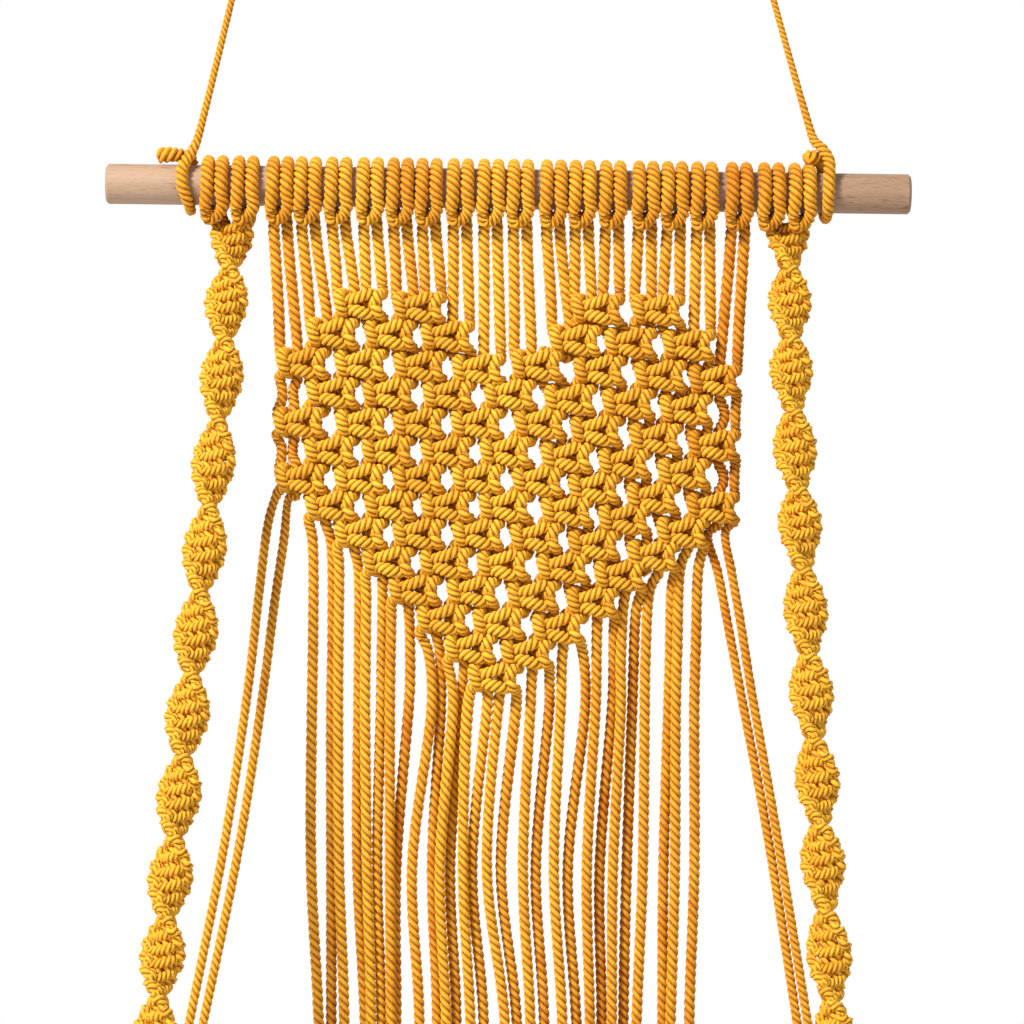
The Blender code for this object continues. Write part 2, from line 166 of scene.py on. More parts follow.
# Free edge cords from the net's last edge knots: x, y, z of what shows, before the board's rear hole
REAR_ROUTES = {
    0: (
        (-113.8, 0.0, -154.9), (-117.2, 0.5, -166.4), (-121.8, -1.5, -206.3), (-125.6, -5.0, -246.2),
        (-136.0, -10.8, -325.0),
    ),
    1: (
        (-106.8, 0.5, -154.8), (-109.6, 1.5, -176.3), (-113.6, 0.0, -206.2), (-118.0, -3.5, -246.1),
        (-128.6, -9.6, -325.0),
    ),
    30: (
        (101.8, 0.5, -170.0), (107.0, 1.5, -190.0), (111.4, 0.0, -212.0), (118.1, -3.5, -246.0),
        (133.6, -9.2, -325.0),
    ),
    31: (
        (110.5, 0.0, -168.5), (113.8, 0.5, -190.0), (117.9, -1.5, -212.0), (123.6, -4.5, -246.0),
        (138.2, -11.2, -325.0),
    ),
}

# Columns: x and z of the middle of each broad turn, and of the end above the board
COLUMN_TURNS = {
    -1: (
        (-137.1, -27.5), (-138.9, -61.9), (-139.8, -99.3), (-142.4, -142.3), (-145.3, -184.2),
        (-148.0, -224.6), (-150.6, -263.5), (-153.2, -301.5), (-155.8, -339.6), (-158.1, -374.8),
        (-160.3, -412.0), (-162.6, -450.0), (-164.8, -488.0),
    ),
    1: (
        (139.3, -23.8), (140.0, -60.2), (140.4, -93.6), (142.1, -133.6), (144.3, -169.7),
        (146.8, -212.1), (149.1, -251.1), (151.6, -292.5), (153.8, -330.1), (156.4, -373.1),
        (158.8, -412.0), (161.2, -450.0), (163.8, -488.0),
    ),
}
COLUMN_STEP = 30.0
COLUMN_END = -506.0
# Half knot: x, y, dz, radius of the cord that crosses in front; the other is the same half a turn on
HALF_KNOT = (
    (-8.5, -2.0, 2.6, 2.7), (-7.2, -2.8, 0.4, 2.6), (-4.4, -2.8, -0.8, 2.6), (0.0, -2.7, -0.3, 2.7),
    (4.0, -2.2, 0.8, 2.5), (5.9, -0.2, 1.8, 2.2), (6.0, 2.6, 1.8, 2.4), (6.5, 3.8, -0.4, 2.5),
    (7.9, 3.0, -2.6, 2.6),
)
CORE_OFFSET = 2.6

# Overhand knot under the board: x, y, z of its middle route for a knot of unit size
OVERHAND = (
    (0.0, 0.0, 1.3), (-0.1, -0.15, 0.7), (0.35, -0.62, 0.1), (0.78, -0.1, -0.32), (0.4, 0.66, 0.05),
    (-0.42, 0.6, 0.34), (-0.76, -0.1, -0.08), (-0.28, -0.72, -0.3), (0.3, -0.3, -0.1),
    (0.12, 0.25, -0.6), (0.0, 0.05, -1.2),
)


class ShelfCordSettings(bpy.types.PropertyGroup):
    strand_radius: FloatProperty(
        name="Strand radius",
        description="Radius of a hanging three-ply strand",
        default=0.0029,
        unit="LENGTH",
    )
    lay_length: FloatProperty(
        name="Lay length",
        description="Length of cord in which a ply goes round once",
        default=0.0124,
        unit="LENGTH",
    )
    ring_spacing: FloatProperty(
        name="Ring spacing",
        description="Distance between two outlines along a strand",
        default=0.00155,
        unit="LENGTH",
    )
    crest_colour: FloatVectorProperty(
        name="Crest colour",
        description="Colour of the cotton on top of a ply",
        default=(0.98, 0.56, 0.04),
        subtype="COLOR",
    )
    # Painted shade: the dark colour laid into the grooves between plies
    painted_groove_shade_colour: FloatVectorProperty(
        name="Groove colour",
        description="Colour of the cotton between two plies",
        default=(0.30, 0.045, 0.001),
        subtype="COLOR",
    )
    # Mixed in by the tone attribute: the deeper dye of some strands, and painted shade behind the knots and round
    # the dowel
    dye_and_painted_shade_colour: FloatVectorProperty(
        name="Shade colour",
        description="Deeper dye of the strands that take more colour",
        default=(0.62, 0.20, 0.005),
        subtype="COLOR",
    )


class ShelfWoodSettings(bpy.types.PropertyGroup):
    dowel_colour: FloatVectorProperty(
        name="Dowel colour",
        description="Pale beech",
        default=(0.445, 0.295, 0.19),
        subtype="COLOR",
    )
    dowel_fleck: FloatVectorProperty(
        name="Dowel flecks",
        description="Short dark rays in the beech",
        default=(0.22, 0.11, 0.055),
        subtype="COLOR",
    )
    board_colour: FloatVectorProperty(
        name="Board colour",
        description="Light wood between the grain lines",
        default=(0.58, 0.37, 0.20),
        subtype="COLOR",
    )
    board_grain: FloatVectorProperty(
        name="Board grain",
        description="Darker late wood",
        default=(0.36, 0.19, 0.085),
        subtype="COLOR",
    )


def smooth_route(points, spacing):
    """Centripetal Catmull-Rom curve through the points, walked at an even spacing, closer in bends.

    With knots t[i+1] = t[i] + sqrt(|p[i+1] - p[i]|), each stretch is the triangular blend of its four
    nearest points. A fourth number of a point, its radius, is blended along with its place.
    """
    given = np.asarray(points, float)
    given = np.vstack((2 * given[0] - given[1], given, 2 * given[-1] - given[-2]))
    gaps = np.sqrt(np.linalg.norm(np.diff(given[:, :3], axis=0), axis=1))
    knots = np.concatenate(([0.0], np.cumsum(gaps)))
    count = 14
    share = np.arange(count) / count
    stamps = [knots[k:len(knots) - 3 + k, None] for k in range(4)]
    values = [given[k:len(given) - 3 + k, None, :] for k in range(4)]
    now = stamps[1] + (stamps[2] - stamps[1]) * share

    def blended(first, second, start, end):
        part = ((now - start) / (end - start))[..., None]
        return first * (1 - part) + second * part

    low = [blended(values[k], values[k + 1], stamps[k], stamps[k + 1]) for k in range(3)]
    middle = [blended(low[k], low[k + 1], stamps[k], stamps[k + 2]) for k in range(2)]
    curve = blended(middle[0], middle[1], stamps[1], stamps[2]).reshape(-1, given.shape[1])
    curve = np.vstack((curve, given[-2]))
    moves = np.diff(curve[:, :3], axis=0)
    steps = np.linalg.norm(moves, axis=1)
    turns = np.linalg.norm(np.diff(moves / steps[:, None], axis=0), axis=1) / steps[1:]
    turns = np.concatenate((turns[:1], turns))
    walked = np.concatenate(([0.0], np.cumsum(steps * (1.0 + 0.55 * np.clip(6.0 * turns, 0.0, 1.0)))))
    stops = np.linspace(0, walked[-1], max(3, int(round(walked[-1] / spacing)) + 1))
    return np.stack([np.interp(stops, walked, curve[:, k]) for k in range(curve.shape[1])], axis=1)


def turned_about(vectors, axes, angles):
    """Rodrigues: v cos a + (k x v) sin a + k (k . v)(1 - cos a), row by row."""
    cosine = np.cos(angles)[:, None]
    along = np.sum(axes * vectors, axis=1)[:, None]
    return vectors * cosine + np.cross(axes, vectors) * np.sin(angles)[:, None] + axes * along * (1 - cosine)


def untwisted_frames(places):
    """Tangents, and normals that never turn about them.

    A fixed direction gives a first normal in each ring. Each is carried to the next ring by the least
    turn between the tangents, the angle to that ring's own normal is summed up, and taken off again.
    """
    tangents = np.gradient(places, axis=0)
    tangents /= np.linalg.norm(tangents, axis=1)[:, None]
    steady = np.array((0.354, 0.612, 0.707))
    normals = steady - tangents * (tangents @ steady)[:, None]
    normals /= np.linalg.norm(normals, axis=1)[:, None]
    axes = np.cross(tangents[:-1], tangents[1:])
    sines = np.linalg.norm(axes, axis=1)
    axes = axes / np.maximum(sines, 1e-12)[:, None]
    bends = np.arctan2(sines, np.sum(tangents[:-1] * tangents[1:], axis=1))
    carried = turned_about(normals[:-1], axes, bends)
    crossed = np.cross(carried, normals[1:])
    steps = np.arctan2(
        np.sum(crossed * tangents[1:], axis=1), np.sum(carried * normals[1:], axis=1)
    )
    turns = np.concatenate(([0.0], np.cumsum(steps)))
    return tangents, turned_about(normals, tangents, -turns)


def three_ply_outline(around):
    """Angles and radii of three lobes: r = 0.64 + 0.36 |cos 1.5 a|^0.8, largest on top of a ply."""
    angles = 2 * math.pi * np.arange(around) / around
    return angles, 0.64 + 0.36 * np.abs(np.cos(1.5 * angles)) ** 0.8


def twisted_cord(points, settings, phase, scale=1.0):
    """A three-ply outline carried along a route and turned left-handed, once in each lay length.

    The twist tightens where the cord is stretched thin, and where it bends, by up to 75 % at a bend
    radius of 6 mm or less.

    Point (i, j) lies at P(i) + r(j) R(i) (N cos b + B sin b), with b = a(j) + phase - 2 pi s / lay.
    Returns places, faces, their UVs, where U counts lays along the cord and V goes round it, and the
    middle of the cord at each place.
    """
    spacing = settings.ring_spacing / MM * scale
    route = smooth_route(points, spacing)
    places = route[:, :3]
    tangents, normals = untwisted_frames(places)
    sides = np.cross(tangents, normals)
    steps = np.linalg.norm(np.diff(places, axis=0), axis=1)
    bends = np.linalg.norm(np.diff(tangents, axis=0), axis=1) / steps
    evened = np.convolve(np.pad(bends, 5, mode="edge"), np.full(11, 1 / 11), mode="valid")
    thinned = 2.9 / np.minimum(route[1:, 3], 2.9)
    tight = thinned + 0.75 * np.clip(6.0 * evened, 0.0, 1.0)
    lays = np.concatenate(([0.0], np.cumsum(steps * tight))) / (settings.lay_length / MM)
    angles, radii = three_ply_outline(12)
    around = len(angles)
    turn = angles[None, :] + phase - 2 * math.pi * lays[:, None]
    reach = radii[None, :] * route[:, 3][:, None]
    rings = (
        places[:, None, :]
        + (reach * np.cos(turn))[..., None] * normals[:, None, :]
        + (reach * np.sin(turn))[..., None] * sides[:, None, :]
    )
    count = len(places)
    bump = 0.35 * route[[0, -1], 3][:, None] * tangents[[0, -1]] * np.array((-1.0, 1.0))[:, None]
    verts = np.vstack((rings.reshape(-1, 3), places[[0, -1]] + bump))
    ring = np.arange(count - 1)[:, None] * around
    here = np.arange(around)[None, :]
    after = (here + 1) % around
    quads = np.stack(
        (ring + here, ring + after, ring + around + after, ring + around + here), axis=2
    ).reshape(-1, 4)
    start = count * around
    last = (count - 1) * around
    first_cap = np.stack((np.full(around, start), after[0], here[0]), axis=1)
    last_cap = np.stack((np.full(around, start + 1), last + here[0], last + after[0]), axis=1)
    tris = np.vstack((first_cap, last_cap))
    v_here = here[0] / around
    v_after = (here[0] + 1) / around
    u_low = np.repeat(lays[:-1], around)
    u_high = np.repeat(lays[1:], around)
    v_low = np.tile(v_here, count - 1)
    v_high = np.tile(v_after, count - 1)
    quad_uv = np.stack(
        (
            np.stack((u_low, v_low), axis=1),
            np.stack((u_low, v_high), axis=1),
            np.stack((u_high, v_high), axis=1),
            np.stack((u_high, v_low), axis=1),
        ),
        axis=1,
    ).reshape(-1, 2)
    cap_uv = np.zeros((len(tris) * 3, 2))
    cap_uv[:, 1] = 0.07
    middles = np.vstack((np.repeat(places, around, axis=0), places[[0, -1]]))
    return verts, quads, tris, np.vstack((quad_uv, cap_uv)), middles


def dye_with_painted_shade_and_light(middles, tone):
    """Tone at each place: the cord's own tone, plus painted shade deeper behind and round the dowel, and painted
    light paler where a cord is led forward.
    """
    # Painted shade: deeper the further a place lies behind, towards the wall
    behind = np.clip((middles[:, 1] + 0.5) / 6.0, 0.0, 1.0)
    # Painted light: paler where a cord is led forward, away from the wall
    painted_light_ahead = np.clip((-4.0 - middles[:, 1]) / 8.0, 0.0, 1.0)
    # Painted shade on the cords round the dowel, from 22 mm below its middle upwards
    painted_shade_at_dowel = np.clip((middles[:, 2] + 22.0) / 5.0, 0.0, 1.0)
    return tone + 0.5 * behind + 0.35 * painted_shade_at_dowel - 0.4 * painted_light_ahead * (1.0 - painted_shade_at_dowel)


def cord_piece(name, cords, settings, surface, replaced):
    """One object of many cords, each (points in mm from the dowel's middle, tone, phase)."""
    places, faces, loops, uvs, tones = [], [], [], [], []
    offset = 0
    for points, tone, phase in cords:
        verts, quads, tris, uv, middles = twisted_cord(points, settings, phase)
        places.append(verts)
        faces.append((quads + offset, tris + offset))
        uvs.append(uv)
        tones.append(dye_with_painted_shade_and_light(middles, tone))
        offset += len(verts)
    verts = np.vstack(places) * MM + DOWEL_MIDDLE
    loop_index = np.concatenate([np.concatenate((q.ravel(), t.ravel())) for q, t in faces])
    totals = np.concatenate([np.concatenate((np.full(len(q), 4), np.full(len(t), 3))) for q, t in faces])
    starts = np.concatenate(([0], np.cumsum(totals)[:-1]))
    mesh = bpy.data.meshes.new(name)
    mesh.vertices.add(len(verts))
    mesh.vertices.foreach_set("co", verts.astype(np.float32).ravel())
    mesh.loops.add(len(loop_index))
    mesh.loops.foreach_set("vertex_index", loop_index.astype(np.int32))
    mesh.polygons.add(len(totals))
    mesh.polygons.foreach_set("loop_start", starts.astype(np.int32))
    mesh.polygons.foreach_set("use_smooth", np.ones(len(totals), bool))
    mesh.update(calc_edges=True)
    layer = mesh.uv_layers.new(name="cord")
    layer.data.foreach_set("uv", np.vstack(uvs).astype(np.float32).ravel())
    # The tone attribute holds each cord's own tone with painted shade and painted light added
    tone_layer = mesh.attributes.new("tone", "FLOAT", "POINT")
    tone_layer.data.foreach_set("value", np.concatenate(tones).astype(np.float32))
    mesh.validate()
    mesh.materials.append(surface)
    piece = bpy.data.objects.new(name, mesh)
    bpy.context.scene.collection.objects.link(piece)
    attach(piece, "root")
    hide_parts(*replaced)
    return piece


def knot_table():
    """Knots as {(row, column): (x, z)}."""
    return {
        (row, first + step): place
        for row, (first, run) in zip(RUN_ROWS, NET_ROWS)
        for step, place in enumerate(run)
    }


def strand_stops(knots, number):
    """Knots that a strand passes from the top down, as (x, z, seat)."""
    passed = []
    for (row, column), (x, z) in sorted(knots.items()):
        seat = number - int(4 * column)
        if 0 <= seat < 4:
            passed.append((row, column, x, z, seat))
    return passed


def hitch_half(centre, side, radius):
    """Half a lark's head: from the middle of the bar, up the front, over and down behind, out below."""
    x = centre + side * HALF_HITCH
    return [
        (centre, -8.4, -16.6, 3.4),
        (centre + side * 2.8, -8.6, -16.0 + side * 1.7, 3.3),
        (centre + side * 4.3, -10.3, -11.6 + side * 0.5, 3.3),
        (x + side * 0.1, -12.1, -5.0, 3.5),
        (x, -12.4, 1.6, 3.6),
        (x, -8.9, 8.9, 3.5),
        (x, 0.0, 12.3, 2.9),
        (x, 8.9, 8.9, 3.1),
        (x, 12.6, 0.0, 3.1),
        (x, 9.0, -9.0, 3.0),
        (x - side * 1.1, 2.4, -13.0, 3.1),
        (x - side * 0.3, -0.4, -18.2, radius),
    ]


def knot_route(x, z, seat, jitter):
    """A strand's points through one square knot, by its seat in it."""
    if seat == 0:
        shape = np.array(LEFT_TYING)
    elif seat == 3:
        shape = np.array(RIGHT_TYING)
    else:
        across = STRAND_SEATS[seat]
        shape = np.array(
            (
                (across, 0.0, 7.8, 3.1), (across * 1.15, 0.6, 3.0, 3.4),
                (across * 1.15, 0.6, -3.0, 3.4), (across, 0.0, -7.8, 3.1),
            )
        )
    moved = shape.copy()
    moved[:, 0] += x
    moved[:, 1] += jitter[1]
    moved[:, 2] += z
    moved[1:-1, :3] += jitter[0] * np.array((0.25, 0.15, 0.15)) * np.sin(np.arange(len(shape) - 2)[:, None] * 2.1)
    return [tuple(point) for point in moved]


def edge_link(stop, following):
    """Where an outer strand hangs free past a row, it bows outwards."""
    out = math.copysign(1.0, stop[2])
    outer = stop[4] in (0, 3)
    x = (stop[2] + following[2]) / 2 + out * (9.6 if outer else 4.0) + (1.4 if out > 0 else 0.0)
    z = (stop[3] + following[3]) / 2
    return [(x, 0.0 if outer else 1.2, z + 2.5, 2.9), (x, 0.0 if outer else 1.2, z - 2.5, 2.9)]


def released(number, stop, rng):
    """A fringe strand from its last knot to its cut end."""
    order = number - 2
    back = FRINGE_FRONT_Y + (FRINGE_BACK_Y - FRINGE_FRONT_Y) * (order % 2) + rng.uniform(-0.6, 0.8)
    row, column, x, z, seat = stop
    points = []
    levels = [(FRINGE_X[k][order], height) for k, height in enumerate(FRINGE_HEIGHTS)]
    start_x = x + STRAND_SEATS[seat]
    first_x, first_z = levels[0]
    if z - first_z > 22:
        points.append((start_x * 0.35 + first_x * 0.65, 0.6 + back * 0.3, z - 15.5, 2.9))
    if z - first_z > 48:
        points.append((first_x + rng.uniform(-0.5, 0.5), back, (z - 30 + first_z) / 2, 2.9))
    for across, height in levels:
        if height < z - 16:
            points.append((across, back + rng.uniform(-0.3, 0.3), height, 2.9))
    slope = (levels[2][0] - levels[1][0]) / (FRINGE_HEIGHTS[2] - FRINGE_HEIGHTS[1])
    for height in (-480.0, -560.0, -640.0):
        lean = slope * (max(height, -480.0) - FRINGE_HEIGHTS[2]) * 0.5
        points.append((levels[2][0] + lean + rng.uniform(-1.2, 1.2), back + rng.uniform(0, 1.0), height, 2.9))
    last = points[-1]
    end = FRINGE_END + rng.uniform(0, 6)
    points.append((last[0] + rng.uniform(-1, 1), last[1], end + 8, 2.8))
    points.append((last[0] + rng.uniform(-1, 1), last[1], end, 3.3))
    return points


def overhand(x, y, z, size, offset, tail):
    """The routes of one strand of a bundle through the knot under the board and down its tail."""
    points = []
    for index, (a, b, c) in enumerate(OVERHAND):
        swing = math.radians(28) * index
        shift_x = offset[0] * math.cos(swing) - offset[1] * math.sin(swing)
        shift_y = offset[0] * math.sin(swing) + offset[1] * math.cos(swing)
        points.append((x + a * size + shift_x, y + b * size + shift_y, z + c * size, 2.6))
    foot = points[-1]
    points.append((foot[0] + offset[0] * 0.8, foot[1] + offset[1] * 0.8, foot[2] - tail * 0.5, 2.9))
    points.append((foot[0] + offset[0] * 1.7, foot[1] + offset[1] * 1.7, foot[2] - tail, 3.3))
    return points


def mm_from_dowel(point):
    return (np.array(point) - DOWEL_MIDDLE) / MM


def rear_end(number):
    """From the net's edge, straight to the rear hole, through the board, and into the knot below."""
    side = -1 if number < 2 else 1
    hole_x = side * 165.0
    seat = -1 if number % 2 == 0 else 1
    low = mm_from_dowel(BOARD_LOW)[2]
    high = mm_from_dowel(BOARD_HIGH)[2]
    x = hole_x + seat * 3.1
    points = [(*place, 2.5) for place in REAR_ROUTES[number]]
    points += [(x, -21.6, high + 14, 2.5), (x, -22.0, high - 1, 2.5), (x, -22.0, low + 1, 2.5)]
    knot = overhand(hole_x, -22.0, low - 9.4, 7.0, (seat * 2.7, 0.0), 22.0)
    return points + knot[1:]


def net_cords(settings, rng):
    """The 16 folded cords of the net as one route each, from one cut end over the dowel to the other."""
    knots = knot_table()
    cords = []
    for hitch, centre in enumerate(NET_HITCHES):
        halves = []
        for side in (-1, 1):
            number = 2 * hitch + (side > 0)
            stops = strand_stops(knots, number)
            points = hitch_half(centre, side, 3.15)
            for index, stop in enumerate(stops):
                if index == 0:
                    top = points[-1]
                    entry = stop[2] + STRAND_SEATS[stop[4]]
                    drop = top[2] - (stop[3] + 8)
                    points.append((top[0] * 0.8 + entry * 0.2, 0.4, top[2] - drop * 0.25, 3.15))
                    if drop > 25:
                        points.append((top[0] * 0.3 + entry * 0.7, 0.8, top[2] - drop * 0.7, 3.15))
                elif stop[0] - stops[index - 1][0] == 2:
                    points += edge_link(stops[index - 1], stop)
                through = knot_route(stop[2], stop[3], stop[4], rng.uniform(-1, 1, 2) * 0.5)
                if index and math.dist(points[-1][:3], through[0][:3]) < 3:
                    met = (np.array(points.pop()) + np.array(through[0])) / 2
                    through[0] = tuple(met)
                points += through
            if number in REAR_ROUTES:
                points += rear_end(number)
            else:
                points += released(number, stops[-1], rng)
            halves.append(points)
        route = halves[0][::-1] + halves[1][1:]
        edge = 0.7 if hitch in (0, HITCH_LAST) else 0.0
        cords.append((route, rng.uniform(0, 0.8) + edge, rng.uniform(0, 6)))
    return cords


def column_middle(side, z):
    """Middle of a column at a height: a straight lean to the board's front hole."""
    turns = np.array(COLUMN_TURNS[side])
    x = np.interp(-z, -turns[:, 1], turns[:, 0])
    y = -1.0 - 135.0 * (abs(z) - 16.7) / 494.3
    return np.array((x, y, z))


def column_cords(side, rng):
    """Two folded cords: the outer two strands tie half knots round the inner two.

    Half knot i stands at the angle 30 i about Z, always with its left cord in front, so the braid turns
    left-handed, and its height is read from the middles of the measured half turns.
    """
    turns = np.array(COLUMN_TURNS[side])
    centres = COLUMN_HITCHES[:2] if side < 0 else COLUMN_HITCHES[2:]
    last = int(180 * (len(turns) - 1) / COLUMN_STEP) + 2
    numbers = np.arange(-1, last + 1)
    phases = numbers * COLUMN_STEP
    slope_top = turns[1, 1] - turns[0, 1]
    heights = np.interp(phases / 180, np.arange(len(turns)), turns[:, 1])
    heights = np.where(phases < 0, turns[0, 1] + phases / 180 * slope_top, heights)
    slope_end = turns[-1, 1] - turns[-2, 1]
    beyond = phases / 180 - (len(turns) - 1)
    heights = np.where(beyond > 0, turns[-1, 1] + beyond * slope_end, heights)
    kept = heights > COLUMN_END + 3
    numbers, phases, heights = numbers[kept], phases[kept], heights[kept]
    routes = {}
    for start_side in (-1, 1):
        centre = centres[0] if start_side < 0 else centres[1]
        outer = hitch_half(centre, start_side, 2.7)
        inner = hitch_half(centre, -start_side, 2.7)
        outer[-1] = (centre + start_side * 2.6, -0.6, -16.6, 2.6)
        inner[-1] = (centre - start_side * 4.2, -0.4, -17.2, 2.6)
        for index, (phase, height) in enumerate(zip(phases, heights)):
            in_front = (start_side < 0) == (index % 2 == 0)
            turned = math.radians(phase if in_front else phase + 180)
            angle = math.radians(phase)
            middle = column_middle(side, height)
            lean = 135.0 / 494.3
            for x, y, dz, radius in HALF_KNOT:
                across = x * math.cos(turned) - y * math.sin(turned)
                deep = x * math.sin(turned) + y * math.cos(turned)
                outer.append((middle[0] + across, middle[1] + deep + dz * lean, height + dz, radius))
            core_x = start_side * CORE_OFFSET * math.cos(angle)
            core_y = start_side * CORE_OFFSET * math.sin(angle)
            inner.append((middle[0] + core_x, middle[1] + core_y, height, 3.0))
        routes[start_side] = (outer, inner)
    low = mm_from_dowel(BOARD_LOW)[2]
    high = mm_from_dowel(BOARD_HIGH)[2]
    hole_x = side * 165.0
    cords = []
    seats = {(-1, 0): (-3.1, -3.1), (-1, 1): (-3.1, 3.1), (1, 0): (3.1, 3.1), (1, 1): (3.1, -3.1)}
    for start_side, pair in routes.items():
        halves = []
        for index, points in enumerate(pair):
            dx, dy = seats[(start_side, index)]
            x, y = hole_x + dx, -136.0 + dy
            points += [(x, y, high + 6, 2.6), (x, y, high - 2, 2.6), (x, y, low + 1, 2.6)]
            points += overhand(hole_x, -136.0, low - 10.6, 7.6, (dx * 0.9, dy * 0.9), 22.0)[1:]
            halves.append(points)
        first, second = (halves[0], halves[1]) if start_side < 0 else (halves[1], halves[0])
        cords.append((first[::-1] + second[1:], rng.uniform(0.5, 0.9), rng.uniform(0, 6)))
    return cords


def hanger_route():
    """One cord: trimmed end, turn round the dowel's left end, hook, turn round its right end, trimmed end."""
    apex_x = -DOWEL_MIDDLE[0] / MM
    apex_z = -DOWEL_MIDDLE[2] / MM
    left = [
        (-174.0, -2.6, 14.2, 4.2), (-170.0, -3.0, 14.6, 4.2), (-165.4, -1.8, 14.8, 3.8),
        (-161.2, 1.4, 14.6, 3.2), (-158.0, 5.6, 12.8, 2.8), (-158.2, 10.4, 7.6, 2.8), (-159.6, 12.6, -1.0, 2.9),
        (-159.4, 8.4, -9.8, 2.9), (-158.0, 0.0, -12.7, 2.8), (-158.6, -8.8, -9.2, 3.0),
        (-161.2, -12.6, -1.0, 3.3), (-161.4, -10.6, 7.6, 3.3), (-158.2, -6.6, 14.4, 3.1),
        (-155.9, -5.2, 19.2, 2.6), (-154.4, -3.4, 24.5, 2.3), (-152.4, -1.8, 33.0, 2.1),
    ]
    bend = [
        (apex_x - 4.4, 0.0, apex_z - 8.0, 2.0), (apex_x - 3.2, 0.0, apex_z - 4.0, 2.0),
        (apex_x, 0.0, apex_z - 2.3, 2.0), (apex_x + 3.2, 0.0, apex_z - 4.0, 2.0),
        (apex_x + 4.4, 0.0, apex_z - 8.0, 2.0),
    ]
    right = [
        (149.2, -1.6, 33.0, 2.2), (151.8, -3.4, 25.4, 2.6), (155.6, -6.0, 21.4, 2.9), (158.8, -8.2, 15.6, 3.1),
        (158.6, -11.6, 6.8, 3.3), (158.4, -12.6, -2.0, 3.2), (158.4, -8.8, -9.2, 3.1), (158.2, 0.0, -12.7, 2.9),
        (157.6, 9.2, -8.8, 2.8), (157.0, 12.5, 0.0, 2.8), (156.8, 9.2, 9.0, 2.8), (155.8, 4.0, 14.6, 3.2),
        (153.2, -1.2, 16.8, 4.0), (150.2, -4.2, 17.2, 4.4), (147.6, -5.6, 17.0, 3.8),
    ]
    return left + bend + right


def shader(name):
    made = bpy.data.materials.new(name)
    made.use_nodes = True
    return made, made.node_tree.nodes, made.node_tree.links


def socketed_group(name, inputs, outputs):
    """An empty shader node group with its named sockets: (name, type, default)."""
    group = bpy.data.node_groups.new(name, "ShaderNodeTree")
    for label, kind, default in inputs:
        socket = group.interface.new_socket(label, in_out="INPUT", socket_type=kind)
        if default is not None:
            socket.default_value = default
    for label, kind in outputs:
        group.interface.new_socket(label, in_out="OUTPUT", socket_type=kind)
    return group, group.nodes.new("NodeGroupInput"), group.nodes.new("NodeGroupOutput")


def sum_of(group, operation, first, second, clamp=False):
    """A math node on two values or sockets."""
    node = group.nodes.new("ShaderNodeMath")
    node.operation = operation
    node.use_clamp = clamp
    for socket, value in zip(node.inputs, (first, second)):
        if isinstance(value, (int, float)):
            socket.default_value = value
        elif value is not None:
            group.links.new(value, socket)
    return node.outputs[0]


def mixed_colour(group, share, first, second):
    node = group.nodes.new("ShaderNodeMix")
    node.data_type = "RGBA"
    group.links.new(share, node.inputs["Factor"])
    group.links.new(first, node.inputs["A"])
    group.links.new(second, node.inputs["B"])
    return node.outputs["Result"]


